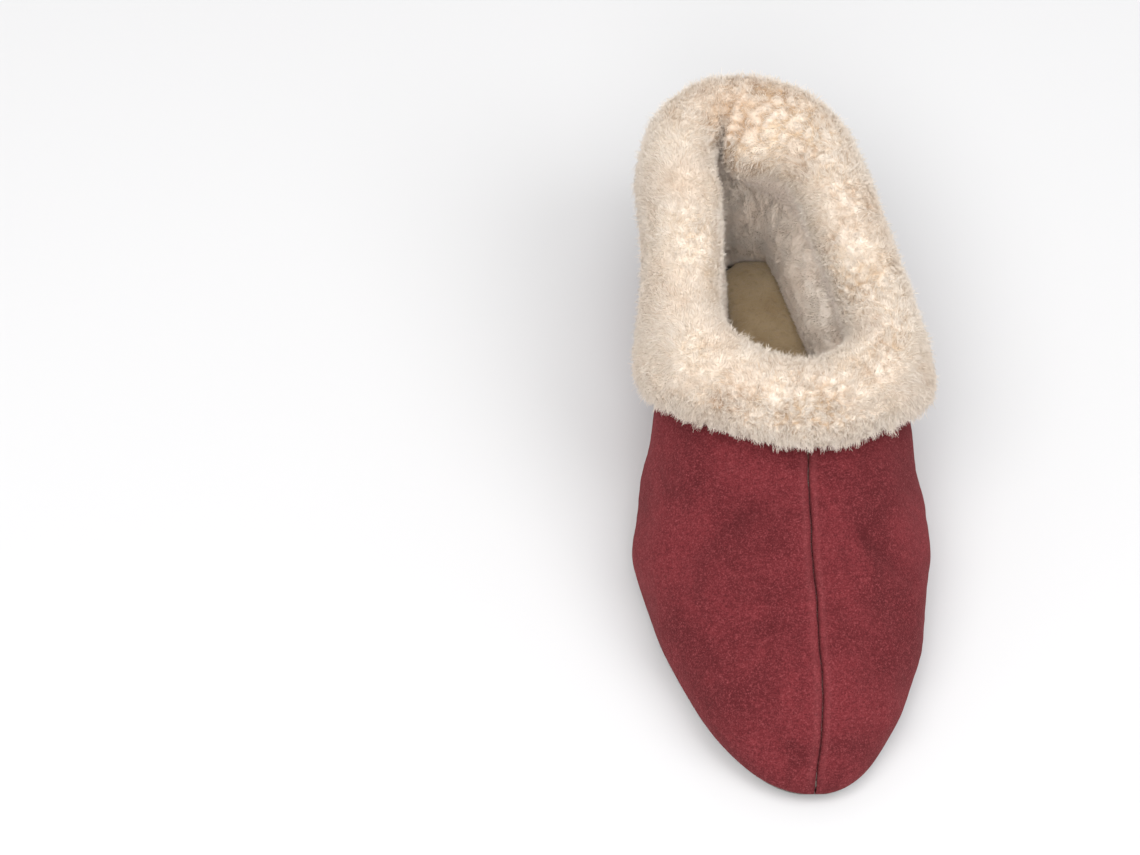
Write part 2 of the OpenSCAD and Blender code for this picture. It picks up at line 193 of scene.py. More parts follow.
def line_at(share, drop):
    """q and up on the line drop below the topline: share is 0 at the throat and 1 at the heel."""
    share = np.asarray(share, float)
    y0 = THROAT_Y - drop
    q0 = run_of_y(y0)
    q = q0 * cos(90 * share)
    k = np.clip((q0 - q) / (q0 - HEEL_SHARE), 0, 1)
    z0 = BASE_Z + ridge_h(y0)
    side_z = z0 + (TOP_SIDE - drop - z0) * ease(k / SIDE_BY)
    z = side_z + (TOP_HEEL - TOP_SIDE) * ease((k - RISE_FROM) / (1 - RISE_FROM))
    up = np.degrees(np.arcsin(np.clip((z - BASE_Z) / ridge_h(run_y(q)), 0, 1) ** (SECTION_N / 2)))
    return q, np.where(share <= 0, 90, up)


def leaf(share, side, drop, k, d):
    """Between the topline, k = 0, and the line drop below it, k = 1."""
    q0, up0 = line_at(share, 0)
    q1, up1 = line_at(share, drop)
    return skin_at(q0 + (q1 - q0) * k, up0 + (up1 - up0) * k, side, d)


def topline(share, side):
    q, up = line_at(np.clip(share, 0, 1), 0)
    return form(q, up, side)


def fold(share, side, a, outer_d, inner_d, h):
    """Round the fold over the topline: a goes from 0, outside, over the crest to 180, inside."""
    q, up = line_at(share, 0)
    n = form_n(q, up, side)
    step = 0.003
    run = topline(share + step, side) - topline(share - step, side)
    rise = -side * unit(np.cross(run, n))
    off = np.asarray((outer_d - inner_d) / 2 + (outer_d + inner_d) / 2 * cos(a))[..., None]
    return topline(share, side) + n * off + rise * (h * sin(a))


def outline(inset, steps, extra=0):
    """The sole's outline, moved in: out along the little-toe side, and back along the big-toe side."""
    q = 0.9995 * np.arange(steps + 1) / steps
    sides = []
    for side in (LATERAL, MEDIAL):
        run = form(np.minimum(q + 0.002, 0.9999), 0, side) - form(np.maximum(q - 0.002, 0), 0, side)
        n = unit(np.stack([run[:, 1], -run[:, 0]], -1)) * side
        moved = inset + extra * smooth((q - 0.75) / 0.25)
        sides.append(form(q, 0, side)[:, :2] + n * moved[:, None])
    return np.concatenate([sides[0], sides[1][::-1]])


def frame_shift():
    """From the form's own frame to the part's, which is centred on its box."""
    edge = outline(SOLE_SET, 240)
    low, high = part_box("outsole")
    middle = (np.array(low) + np.array(high))[:2] / 2 / MM
    return np.append(middle - (edge.min(0) + edge.max(0)) / 2, 0)


SHIFT = frame_shift()


# ---- fields and meshes

def waves(points, length, seed, count=14):
    """A smooth random field of about the given wavelength, with values mostly from -1 to 1."""
    local = np.random.default_rng(seed)
    ways = unit(local.normal(size=(count, 3))) * (2 * math.pi / length) * local.uniform(0.6, 1.5, (count, 1))
    phase = local.uniform(0, 2 * math.pi, count)
    total = np.zeros(points.shape[:-1])
    for way, start in zip(ways, phase):
        total += np.cos(points @ way + start)
    return total * math.sqrt(2 / count) / 1.6


def add_object(name, data):
    obj = bpy.data.objects.new(name, data)
    bpy.context.scene.collection.objects.link(obj)
    return obj


def add_mesh(name, points, faces, layers=None):
    """A mesh object from points in mm and faces, a list of index arrays; layers are values per point."""
    mesh = bpy.data.meshes.new(name)
    points = (np.asarray(points, float).reshape(-1, 3) + SHIFT) * MM
    sizes = np.concatenate([np.full(len(f), f.shape[1]) for f in faces])
    corners = np.concatenate([np.asarray(f).ravel() for f in faces]).astype(np.int32)
    mesh.vertices.add(len(points))
    mesh.vertices.foreach_set("co", points.astype(np.float32).ravel())
    mesh.loops.add(len(corners))
    mesh.loops.foreach_set("vertex_index", corners)
    mesh.polygons.add(len(sizes))
    mesh.polygons.foreach_set("loop_start", np.append(0, np.cumsum(sizes)[:-1]).astype(np.int32))
    for key, values in (layers or {}).items():
        layer = mesh.attributes.new(key, "FLOAT", "POINT")
        layer.data.foreach_set("value", np.asarray(values, np.float32).ravel())
    mesh.update(calc_edges=True)
    mesh.validate()
    mesh.shade_smooth()
    return add_object(name, mesh)


def grid_quads(rows, cols, start=0, wrap=False):
    """The quads of a grid whose points are numbered row by row; wrap joins the last row to the first."""
    i = np.arange(rows if wrap else rows - 1)[:, None]
    j = np.arange(cols - 1)[None, :]
    after = (i + 1) % rows
    quads = [i * cols + j, after * cols + j, after * cols + j + 1, i * cols + j + 1]
    return start + np.stack(np.broadcast_arrays(*quads), -1).reshape(-1, 4)


def outward(points, quads):
    """Turns the faces round if the closed shape has a negative volume."""
    p = np.asarray(points).reshape(-1, 3)[quads]
    volume = (np.cross(p[:, 1] - p[:, 0], p[:, 2] - p[:, 0]) * p[:, 0]).sum()
    volume += (np.cross(p[:, 2] - p[:, 0], p[:, 3] - p[:, 0]) * p[:, 0]).sum()
    return quads if volume > 0 else quads[:, ::-1]


def shell(outer, inner, wrap=False):
    """Points and quads of the closed solid between two grids of points; wrap joins it into a ring."""
    rows, cols = outer.shape[:2]
    few = inner.shape[1]                    # the inner grid may have fewer columns where the solid is a ring
    size = rows * cols
    i = np.arange(rows if wrap else rows - 1)
    after = (i + 1) % rows
    quads = [grid_quads(rows, cols, 0, wrap), grid_quads(rows, few, size, wrap)[:, ::-1]]
    for j, k, turned in ((0, 0, False), (cols - 1, few - 1, True)):
        rim = np.stack([i * cols + j, size + i * few + k, size + after * few + k, after * cols + j], -1)
        quads.append(rim[:, ::-1] if turned else rim)
    if not wrap:
        j = np.arange(cols - 1)
        for r, turned in ((0, False), (rows - 1, True)):
            cap = np.stack([r * cols + j, r * cols + j + 1, size + r * cols + j + 1, size + r * cols + j], -1)
            quads.append(cap[:, ::-1] if turned else cap)
    points = np.concatenate([outer.reshape(-1, 3), inner.reshape(-1, 3)])
    return points, outward(points, np.concatenate(quads))


def stack(rings):
    """Points and quads of a closed solid between flat loops of outline points, one over the other."""
    rings = np.asarray(rings)
    levels, count = rings.shape[:2]
    loop = np.arange(count)
    quads = []
    for k in range(levels - 1):
        low, high = k * count + loop, (k + 1) * count + loop
        quads.append(np.stack([low, np.roll(low, -1), np.roll(high, -1), high], -1))
    half = np.arange(count // 2 - 1)
    strip = np.stack([half, half + 1, count - 2 - half, count - 1 - half], -1)
    quads.append(strip[:, ::-1])
    quads.append(strip + (levels - 1) * count)
    points = rings.reshape(-1, 3)
    return points, outward(points, np.concatenate(quads))


HAIR_SIDES, THREAD_SIDES = 3, 8


def strands(paths, radii, sides, aside=None):
    """Points, faces and the share along each of many closed round strands."""
    count, rings = paths.shape[:2]
    way = unit(np.gradient(paths, axis=1))
    if aside is None:
        aside = np.where(np.abs(way[..., 2:]) > 0.8, [1.0, 0, 0], [0, 0, 1.0])
    across = unit(np.cross(way, aside))
    other = np.cross(way, across)
    angle = 2 * math.pi * np.arange(sides) / sides
    ring = across[:, :, None] * np.cos(angle)[:, None] + other[:, :, None] * np.sin(angle)[:, None]
    points = paths[:, :, None] + ring * radii[:, :, None, None]
    first = (np.arange(count) * rings * sides)[:, None, None]
    i = (np.arange(rings - 1) * sides)[None, :, None]
    k = np.arange(sides)[None, None, :]
    after = (k + 1) % sides
    wall = np.stack([first + i + k, first + i + after, first + i + sides + after, first + i + sides + k], -1)
    root = first[:, 0] + np.arange(sides)[None, ::-1]
    tip = first[:, 0] + (rings - 1) * sides + np.arange(sides)[None, :]
    share = np.broadcast_to(np.linspace(0, 1, rings)[None, :, None], (count, rings, sides))
    return points.reshape(-1, 3), [wall.reshape(-1, 4), np.concatenate([root, tip])], share.ravel()


def hairs(paths, radii):
    return strands(paths, radii, HAIR_SIDES, unit(rng.normal(size=(len(paths), 1, 3))))


# ---- materials

def srgb(r, g, b):
    """A colour from its usual 0 to 255 values."""
    c = np.array([r, g, b]) / 255
    return (*np.where(c < 0.04045, c / 12.92, ((c + 0.055) / 1.055) ** 2.4), 1)


class Look:
    """A procedural material: a Principled shader, and nodes that lie in the object's own coordinates."""

    def __init__(self, name, roughness=0.9, sheen=0.0, sheen_tint=(1, 1, 1, 1), specular=0.3):
        self.material = bpy.data.materials.new(name)
        self.material.use_nodes = True
        self.tree = self.material.node_tree
        self.shader = self.tree.nodes["Principled BSDF"]
        for socket, value in (
            ("Roughness", roughness), ("Sheen Weight", sheen), ("Sheen Roughness", 0.55),
            ("Sheen Tint", sheen_tint), ("Specular IOR Level", specular),
        ):
            self.shader.inputs[socket].default_value = value
        self.place = self.node("TexCoord").outputs["Object"]

    def link(self, value, socket):
        if isinstance(value, bpy.types.NodeSocket):
            self.tree.links.new(value, socket)
        else:
            socket.default_value = value

    def node(self, kind, settings=None, **inputs):
        """A new node; an input is a value or another node's output."""
        node = self.tree.nodes.new("ShaderNode" + kind)
        for key, value in (settings or {}).items():
            setattr(node, key, value)
        for key, value in inputs.items():
            self.link(value, node.inputs[key.replace("_", " ")])
        return node

    def noise(self, size, detail=3, rough=0.55, stretch=(1, 1, 1), warp=0.0):
        """Noise from 0 to 1 whose spots are about size mm wide."""
        place = self.node("Mapping", Scale=stretch, Vector=self.place).outputs["Vector"]
        node = self.node("TexNoise", Scale=1 / (size * MM), Detail=detail, Roughness=rough, Distortion=warp,
                         Vector=place)
        return node.outputs["Fac"]

    def value(self, name):
        """A float that the mesh carries at each point."""
        return self.node("Attribute", {"attribute_name": name}).outputs["Fac"]

    def times(self, value, share):
        node = self.node("Math", {"operation": "MULTIPLY"})
        self.link(value, node.inputs[0])
        node.inputs[1].default_value = share
        return node.outputs[0]

    def ramp(self, value, low, high, start=0.0, end=1.0):
        """Maps value from low..high to start..end, held at the ends."""
        node = self.node("MapRange", {"interpolation_type": "SMOOTHSTEP"}, Value=value, From_Min=low,
                         From_Max=high, To_Min=start, To_Max=end)
        return node.outputs["Result"]

    def mix(self, share, a, b):
        return self.node("Mix", {"data_type": "RGBA"}, Factor=share, A=a, B=b).outputs["Result"]

    def spots(self, colour, value, low, high, most, *tone):
        """Adds spots of a tone where value nears high, covering up to a share most."""
        return self.mix(self.ramp(value, low, high, 0, most), colour, srgb(*tone))

    def bump(self, height, depth, under=None):
        """Adds relief: height from 0 to 1 stands for depth mm."""
        node = self.node("Bump", Distance=depth * MM, Height=height)
        if under is not None:
            self.link(under, node.inputs["Normal"])
        return node.outputs["Normal"]

    def finish(self, colour, normal):
        self.link(colour, self.shader.inputs["Base Color"])
        self.link(normal, self.shader.inputs["Normal"])
        return self.material


def suede_look():
    look = Look("suede_burgundy", 0.95, 0.26, srgb(205, 112, 115), 0.1)
    broad = look.ramp(look.noise(30, 4, 0.6, warp=0.6), 0.36, 0.64)
    patch = look.ramp(look.noise(10, 5, 0.65, warp=0.5), 0.36, 0.64)
    nap = look.noise(0.62, 4, 0.8)
    speck = look.noise(1.4, 5, 0.8)
    brushed = look.noise(3.2, 5, 0.75, stretch=(1, 0.45, 1), warp=0.3)
    colour = look.mix(broad, srgb(80, 26, 30), srgb(112, 41, 46))
    colour = look.mix(look.times(patch, 0.5), colour, srgb(98, 35, 40))
    colour = look.spots(colour, speck, 0.5, 0.66, 0.6, 134, 61, 65)
    colour = look.spots(colour, speck, 0.5, 0.36, 0.65, 82, 29, 33)
    colour = look.spots(colour, nap, 0.5, 0.7, 0.65, 152, 78, 82)
    colour = look.spots(colour, nap, 0.5, 0.34, 0.7, 74, 25, 29)
    colour = look.spots(colour, brushed, 0.48, 0.3, 0.4, 80, 28, 32)
    # painted shade from the shade layer: the seam's groove, the bottom edge and the folds' hollows
    colour = look.mix(look.times(look.value("shade"), 0.8), colour, srgb(48, 15, 18))
    # painted highlight: a lighter band beside the seam
    colour = look.mix(look.times(look.value("seam_highlight"), 0.12), colour, srgb(156, 84, 87))
    relief = look.bump(brushed, 0.35, look.bump(speck, 0.35))
    return look.finish(colour, look.bump(nap, 0.25, relief))


def sole_look():
    look = Look("sole_grey_suede", 0.95, 0.2, srgb(200, 200, 200), 0.12)
    patch = look.noise(9, 4, 0.6)
    nap = look.noise(0.7, 3, 0.7)
    colour = look.mix(look.ramp(patch, 0.35, 0.65), srgb(127, 126, 121), srgb(144, 143, 137))
    colour = look.spots(colour, nap, 0.5, 0.8, 0.5, 182, 181, 175)
    return look.finish(colour, look.bump(nap, 0.3, look.bump(patch, 0.4)))


def fleece_look():
    look = Look("fleece_cream", 0.85, 0.3, srgb(255, 244, 228), 0.1)
    tip, tint = look.value("tip"), look.value("tint")
    patch = look.ramp(look.noise(26, 3, 0.6), 0.36, 0.66)
    pale = look.mix(tint, srgb(235, 222, 207), srgb(248, 239, 229))
    pale = look.mix(look.times(patch, 0.45), pale, srgb(230, 213, 196))
    root = look.mix(patch, srgb(206, 181, 152), srgb(184, 152, 122))
    # the tip value mixes from the tan root colour to the pale tips, and carries the painted shade of the
    # gaps, the hollows and the wool's body
    colour = look.mix(look.ramp(tip, 0.0, 0.75), root, pale)
    colour = look.mix(look.value("shorn"), colour, srgb(246, 233, 222))
    return look.finish(colour, look.bump(look.noise(0.7, 3, 0.7), 0.3))


def shorn_look(name, light, dark, hollow_shade):
    look = Look(name, 0.9, 0.6, srgb(255, 248, 238), 0.12)
    patch = look.ramp(look.noise(16, 4, 0.6), 0.35, 0.68)
    lock = look.noise(2.2, 4, 0.65, warp=0.5)
    fibre = look.noise(0.5, 3, 0.7)
    colour = look.mix(patch, light, dark)
    # painted shade: the colour darkens where the lock relief is low, in its hollows
    colour = look.mix(look.ramp(lock, 0.5, 0.3, 0, 0.35), colour, hollow_shade)
    return look.finish(colour, look.bump(fibre, 0.3, look.bump(lock, 0.7)))


def plain_look(name, light, dark, size, depth):
    look = Look(name, 0.9, 0.1, srgb(255, 250, 240), 0.2)
    grain = look.noise(size, 4, 0.65)
    colour = look.mix(look.ramp(grain, 0.35, 0.7), dark, light)
    fine = look.noise(size / 4, 3, 0.6)
    return look.finish(colour, look.bump(fine, depth / 2, look.bump(grain, depth)))


def thread_look(name, light, dark, ply_l=1.6):
    """Two twisted plies, each ply_l mm along the thread."""
    look = Look(name, 0.75, 0.2, srgb(255, 235, 225), 0.25)
    bands = {"wave_type": "BANDS", "bands_direction": "DIAGONAL"}
    wave = look.node("TexWave", bands, Scale=1 / (ply_l * MM), Distortion=0.6, Vector=look.place)
    ply = wave.outputs["Fac"]
    fibre = look.noise(0.25, 2, 0.6)
    # the colour follows the plies' relief: painted shade in the grooves between the plies, painted light on
    # their crowns
    return look.finish(look.mix(ply, dark, light), look.bump(fibre, 0.05, look.bump(ply, 0.18)))


# ---- suede upper

UPPER_ROWS, VAMP_ROWS, UPPER_COLS, UPPER_STOP = 150, 170, 84, 0.9985
TURN, TURN_W = 0.9, 0.4                 # how far the suede turns in at a closing seam, and how near to it
RIDGE, RIDGE_AT, RIDGE_W = 0.2, 2.4, 1.8    # the low ridge beside the seam
PUCKER, PUCKER_L, PUCKER_W = 0.22, 7, 5     # the stitches' small puckers
SEAM_W = 14                             # how far from the seam the suede follows where it wanders


def share_of(i, n):
    """The share of row i of n from the throat to the heel, closer together round the heel."""
    return 1 - (1 - i / n) ** 1.3


def panel_runs(drop, around, ahead, stop):
    """q and top angle of each row of a half panel whose top edge is the line drop below the topline."""
    q, up = line_at(share_of(np.arange(around, -1, -1), around), drop)
    q0 = run_of_y(THROAT_Y - drop)
    front = q0 + (stop - q0) * np.arange(1, ahead + 1) / ahead
    return np.append(q, front), np.append(up, np.full(ahead, 90.0))


def seam_distance(q, up, side):
    """How far a point of one panel is from the closing seam, over the vamp and down the heel."""
    apart = form(q, up, side) - form(q, up, -side)
    return np.maximum(np.linalg.norm(apart, axis=-1) / 2 - SEAM_HALF, 0)


def upper_panel(side, name):
    """Half the suede upper: turned edges at the seams, soft dents and folds."""
    q, top = panel_runs(0, UPPER_ROWS, VAMP_ROWS, UPPER_STOP)
    share = 1 - (1 - np.arange(UPPER_COLS + 1) / UPPER_COLS) ** 1.7     # closer together by the seam
    q = q[:, None] + 0 * share
    up = top[:, None] * share
    p = form(q, up, side)
    n = form_n(q, up, side)
    s = seam_distance(q, up, side)
    above = p[..., 2] - BASE_Z
    room = smooth((edge_w(run_y(q), side) - 2) / 16)            # 0 at the toe's very end
    ahead = smooth((run_of_y(THROAT_Y) - q) * -40 + 0.5)        # 1 over the vamp, 0 round the opening
    heel = 1 - smooth(q / 0.06)
    by_seam = np.maximum(ahead, heel) * room
    roll = -TURN * np.exp(-((s / TURN_W) ** 1.5)) + RIDGE * bell((s - RIDGE_AT) / RIDGE_W)
    pucker = PUCKER * waves(p * [0.2, 1, 0.6], PUCKER_L, 31 + side) * np.exp(-s / PUCKER_W)
    turned_in = 0.5 * bell(above / 2.2)
    dents = 1.0 * waves(p, 46, 5) + 0.5 * waves(p * [1, 0.7, 1], 22, 9 + side) + 0.1 * waves(p, 8, 12)
    dents = dents * smooth(above / 16) * (0.35 + 0.65 * smooth(s / 16))
    d = by_seam * (roll + pucker) - turned_in + dents + folds(p, side)
    outer = p + n * d[..., None]
    inner = p + n * (np.minimum(d, 0.6) - SUEDE_T)[..., None]
    for face in (outer, inner):
        face[..., 0] += ahead * room * (seam_bend(p[..., 1]) * bell(s / SEAM_W))
        face[..., 0] -= side * by_seam * 0.3 * bell(s / 1.5)     # the stitches pull the halves together
        face[..., 2] = np.maximum(face[..., 2], BASE_Z - 0.3)
    points, quads = shell(outer, inner)
    # painted shade: darker in the seam's turned-in groove, along the bottom edge by the sole, and in the
    # folds' hollows
    dark = 0.5 * by_seam * bell(s / TURN_W) + 0.35 * np.exp(-above / 2.5)
    dark = dark + 0.3 * np.clip(-folds(p, side), 0, 1)
    # painted highlight: a lighter band on the low ridge beside the seam
    seam_highlight = by_seam * bell((s - 1.8) / 0.9)
    layers = {"shade": np.append(dark, np.ones(dark.size)), "seam_highlight": np.append(seam_highlight, np.zeros(seam_highlight.size))}
    return add_mesh(name, points, [quads], layers)


def seam_bend(y):
    """How far the sewn centre seam wanders off its straight line, in mm towards the big toe."""
    from_toe = y - Y_TOE
    over_foot = -1.1 * smooth((from_toe - 55) / 25)
    by_toe = 1.7 * (smooth((Y_TOE + 62 - y) / 45) * smooth(from_toe / 18))
    sway = over_foot + by_toe + 0.14 * np.sin(y / 4.1) + 0.08 * np.sin(y / 1.9)
    return sway * smooth((THROAT_Y + 4 - y) / 12)


def folds(p, side):
    """Shallow folds that the soft suede takes by the collar and beside the seam at the toe."""
    x, y, z = p[..., 0], p[..., 1], p[..., 2]
    total = np.zeros(x.shape)
    for where, cx, cy, angle, half, wide, height in FOLDS:
        if where != side:
            continue
        c, s = math.cos(math.radians(angle)), math.sin(math.radians(angle))
        run = (x - cx) * c + (y - cy) * s
        off = -(x - cx) * s + (y - cy) * c
        total += height * np.exp(-((run / half) ** 2) - (off / wide) ** 2)
    return total * smooth((z - BASE_Z) / 12)


# Each fold: side, middle (x, y), direction in degrees from +X, half length, half width, height
FOLDS = (
    (MEDIAL, 22, -52, -25, 16, 3.6, -1.0),
    (MEDIAL, 20, -60, -22, 20, 5.0, 0.9),
    (MEDIAL, 9, -104, 80, 14, 3.0, 0.7),
    (LATERAL, -26, -40, 24, 22, 5.0, -0.8),
    (LATERAL, -12, -88, 62, 20, 6.0, 0.6),
)


# ---- collar

def through(anchors, where):
    """Points at parameters where on smooth curves through anchors, an array (curves, anchors, 3)."""
    count = anchors.shape[1]
    i = np.clip(np.floor(where).astype(int), 0, count - 2)
    t = (where - i)[None, :, None]
    a, b = anchors[:, i], anchors[:, i + 1]
    before = anchors[:, np.maximum(i - 1, 0)]
    after = anchors[:, np.minimum(i + 2, count - 1)]
    ma, mb = (b - before) / 2, (after - a) / 2
    return (
        a * (2 * t**3 - 3 * t**2 + 1) + ma * (t**3 - 2 * t**2 + t)
        + b * (3 * t**2 - 2 * t**3) + mb * (t**3 - t**2)
    )


# Shares of the drop and of the depth down the collar's outer leaf, and of the drop down its inner one
STRAIGHT_EDGE = ((1, 1), (0.92, 1), (0.8, 1), (0.6, 1), (0.4, 1), (0.2, 1))
ROUND_EDGE = ((1, 0.35), (1.05, 0.6), (1.02, 0.85), (0.88, 0.97), (0.6, 1), (0.3, 1))
INNER_LEAF = (0.4, 0.84, 1)
FOLD_ANGLES = range(0, 181, 18)
DENSE, FINE = 801, 400                  # places along the ridge and a section, before they are split evenly


def section_anchors(g, edge, outer_d, inner_d, h, more=0):
    """The collar's sections at each g, from -1 at the heel round the little-toe side and throat to 1."""
    parts = []
    for side, own in ((LATERAL, g < 0), (MEDIAL, g >= 0)):
        share = np.abs(g[own])
        away = share - FOLD_AT if side == MEDIAL else 2 - FOLD_AT - share
        push = more * bell(away / FOLD_WIDE)[:, None] * FOLD_WAY
        drop = CUFF_DROP - CUFF_LIFT * bell(share / LIFT_WIDE)
        rows = [leaf(share, side, drop, k, outer_d * part) for k, part in edge]
        for a in FOLD_ANGLES:
            grown = smooth((a - FOLD_START) / FOLD_RUN)
            rows.append(fold(share, side, a, outer_d, inner_d, h) + push * grown)
        for k in INNER_LEAF:
            rows.append(leaf(share, side, LINING_DROP, k, -inner_d) + push * (1 - k * FOLD_FADE))
        parts.append(np.stack(rows, 1))
    return np.concatenate(parts)


def even(lengths, count):
    """Parameters, as fractions of an index, that split a run of cumulative lengths evenly."""
    return np.interp(np.linspace(0, lengths[-1], count), lengths, np.arange(len(lengths)))


def run_length(points, axis=0):
    """Cumulative length along a line of points."""
    steps = np.linalg.norm(np.diff(points, axis=axis), axis=-1)
    return np.concatenate([np.zeros_like(steps.take([0], axis)), np.cumsum(steps, axis)], axis)


def read(grid, u, v):
    """Values of a grid at fractional places u, v."""
    rows, cols = grid.shape[:2]
    u, v = np.clip(u, 0, rows - 1.001), np.clip(v, 0, cols - 1.001)
    i, j = u.astype(int), v.astype(int)
    a, b = (u - i)[:, None], (v - j)[:, None]
    low = grid[i, j] * (1 - b) + grid[i, j + 1] * b
    high = grid[i + 1, j] * (1 - b) + grid[i + 1, j + 1] * b
    return low * (1 - a) + high * a


class Collar:
    """The collar's skin and the envelope of its wool as two matching grids, (around, across, 3)."""

    def __init__(self, around=640, across=140):
        dense = np.linspace(-1, 1, DENSE)
        ridge = section_anchors(dense, STRAIGHT_EDGE, 1, 1, 1)[:, len(STRAIGHT_EDGE)]
        self.g = np.interp(even(run_length(ridge), around), np.arange(DENSE), dense)
        wool = section_anchors(self.g, ROUND_EDGE, WOOL_OUTER, WOOL_INNER, CREST_H, HEEL_FOLD)
        skin = section_anchors(self.g, STRAIGHT_EDGE, SKIN_OFF, SUEDE_T + SKIN_OFF, SKIN_OFF + 1)
        fine = np.linspace(0, wool.shape[1] - 1, FINE)
        lengths = run_length(through(wool, fine), 1).mean(0)
        where = np.interp(even(lengths, across), np.arange(FINE), fine)
        self.wool, self.skin = through(wool, where), through(skin, where)
        crease = CREASE * bell((self.g - CREASE_AT) / CREASE_WIDE)
        inside = smooth((np.arange(across) / across - 0.5) / 0.25)
        self.wool = self.skin + (self.wool - self.skin) * (1 - crease[:, None] * inside)[..., None]

    def at(self, u, v, depth):
        """Points at depth mm under the wool's envelope, and no deeper than the skin."""
        skin, wool = read(self.skin, u, v), read(self.wool, u, v)
        full = np.linalg.norm(wool - skin, axis=1)
        share = np.clip(1 - depth / full, 0.08, 2)
        return skin + (wool - skin) * share[:, None]

    def ways(self, u, v):
        """Unit directions out of the wool, down towards its turned-down edge, and round the opening."""
        out = unit(read(self.wool, u, v) - read(self.skin, u, v))
        low = np.maximum(v - 1.5, 0)
        down = read(self.wool, u, low) - read(self.wool, u, low + 2)
        down = unit(down - out * dot(down, out))
        return out, down, np.cross(out, down)

    def places(self, spacing, low=0.0, high=1.0):
        """Jittered places about spacing apart over the wool, between two shares of the section."""
        rows, cols = self.skin.shape[:2]
        across = run_length(self.wool, 1).mean(0)
        us, vs = [], []
        for k, v in enumerate(even(across, int(across[-1] / spacing) + 1)):
            if not low <= v / (cols - 1) <= high:
                continue
            lengths = run_length(self.wool[:, int(v)])
            count = int(lengths[-1] / spacing)
            start = (np.arange(count) + (k % 2) / 2 + rng.uniform(-0.4, 0.4, count)) * spacing
            us.append(np.interp(start, lengths, np.arange(rows)))
            vs.append(v + rng.uniform(-0.4, 0.4, count) * spacing * cols / across[-1])
        return np.clip(np.concatenate(us), 0, rows - 1.01), np.clip(np.concatenate(vs), 0, cols - 1.01)


SWIRL, GAP_W, CURL_R = 1.3, 1.4, 4.3      # how far the gaps wander, their half width, and a curl's radius
FUZZ_T = 2.0                            # the wool's body lies about this far under its fibres' tips


class Curls:
    """The lumps that the wool's curls make, and the gaps between them."""

    def __init__(self, collar, spacing=4.9):
        self.collar = collar
        u, v = collar.places(spacing)
        middles = collar.at(u, v, 0)
        self.heights = rng.uniform(0.4, 1, len(u))
        self.tree = KDTree(len(u))
        for k, p in enumerate(middles):
            self.tree.insert(p, k)
        self.tree.balance()

    def curly(self, p, u, v):
        """0 where the wool is a smooth plush, 1 where it is curly; how flat it is pressed; the painted shade
        toward the heel and, faintly, the big-toe side.
        """
        rows, cols = self.collar.skin.shape[:2]
        g = np.interp(u, np.arange(rows), self.collar.g)
        over = v / cols                     # 0 at the turned-down edge, 1 at the lining
        medial = np.maximum(smooth((g - 0.1) / 0.3), smooth((-0.9 - g) / 0.06))
        medial = medial * smooth((over - 0.26) / 0.15)
        heel = smooth((np.abs(g) - 0.7) / 0.2)
        throat = bell(g / 0.25)
        zone = 0.45 * medial + 0.2 * heel + 0.6 * throat
        pressed = smooth((over - 0.74 + 0.03 * waves(p, 20, 92)) / 0.08)
        low = 0.3 * (1 - smooth(over / 0.36)) * smooth((over - 0.02) / 0.06)
        curly = np.clip(0.19 + 0.55 * zone + low + 0.16 * waves(p, 34, 91), 0.12, 1)
        return curly * (1 - pressed) + 0.02, pressed, np.maximum(0.1 * medial, heel) * (1 - pressed)

    def relief(self, u, v):
        """Depth under the envelope; a value, 0 in the gaps and 1 on the curls; tint; how flat it lies."""
        p = self.collar.at(u, v, 0)
        curly, pressed, heel_shade = self.curly(p, u, v)
        swirl = np.stack([waves(p, 9, seed) for seed in (93, 94, 95)], -1)
        near, far, height = (np.empty(len(p)) for _ in range(3))
        for k, point in enumerate(p + SWIRL * swirl):
            (_, first, d1), (_, _, d2) = self.tree.find_n(point, 2)
            near[k], far[k], height[k] = d1, d2, self.heights[first]
        gap = bell((far - near) / GAP_W)
        dome = np.clip(1 - (near / CURL_R) ** 2, 0, 1) * height
        small = waves(p, 3.0, 97, 18)
        broad = waves(p, 13, 98)
        depth = FUZZ_T - 1.0 * curly * dome + 0.85 * curly * gap - 0.3 * broad * (1 - 0.6 * pressed)
        depth = depth - (0.08 + 0.25 * curly) * small
        # the value darkens toward the tan root colour in the gaps between curls, off their domes and in the
        # low places of the relief: partly the roots' own tan, partly painted shade
        value = 1 - curly * np.clip(0.75 * gap + 0.32 * (1 - dome), 0, 1) - 0.10 * np.clip(-small, 0, 1)
        # painted shade: darker toward the heel and, faintly, the big-toe side
        value = value - 0.22 * np.clip(-broad, 0, 1) * (1 - pressed) - 0.22 * heel_shade
        return depth, np.clip(value, 0, 1), height, pressed


def collar_base(collar, curls, name):
    """The wool's body: a closed ring round the folded skin, lumpy where the curls stand."""
    rows, cols = collar.skin.shape[:2]
    u, v = np.meshgrid(np.arange(rows, dtype=float), np.arange(cols, dtype=float), indexing="ij")
    depth, value, tint, pressed = curls.relief(u.ravel(), v.ravel())
    outer = collar.at(u.ravel(), v.ravel(), depth).reshape(rows, cols, 3)
    few = np.linspace(0, cols - 1, 14).astype(int)          # the hidden face by the skin needs few points
    inner = (collar.skin + (collar.wool - collar.skin) * 0.02)[:, few]
    points, quads = shell(outer, inner, wrap=True)
    hidden = np.zeros(len(points) - rows * cols)
    layers = {
        # painted shade: the body under the fibres is darker, with 0.7 of the value and half the tint
        "tip": np.append(value * 0.7, hidden),
        "tint": np.append(tint * 0.5, hidden),
        "shorn": np.append(pressed, hidden),
    }
    return add_mesh(name, points, [quads], layers)


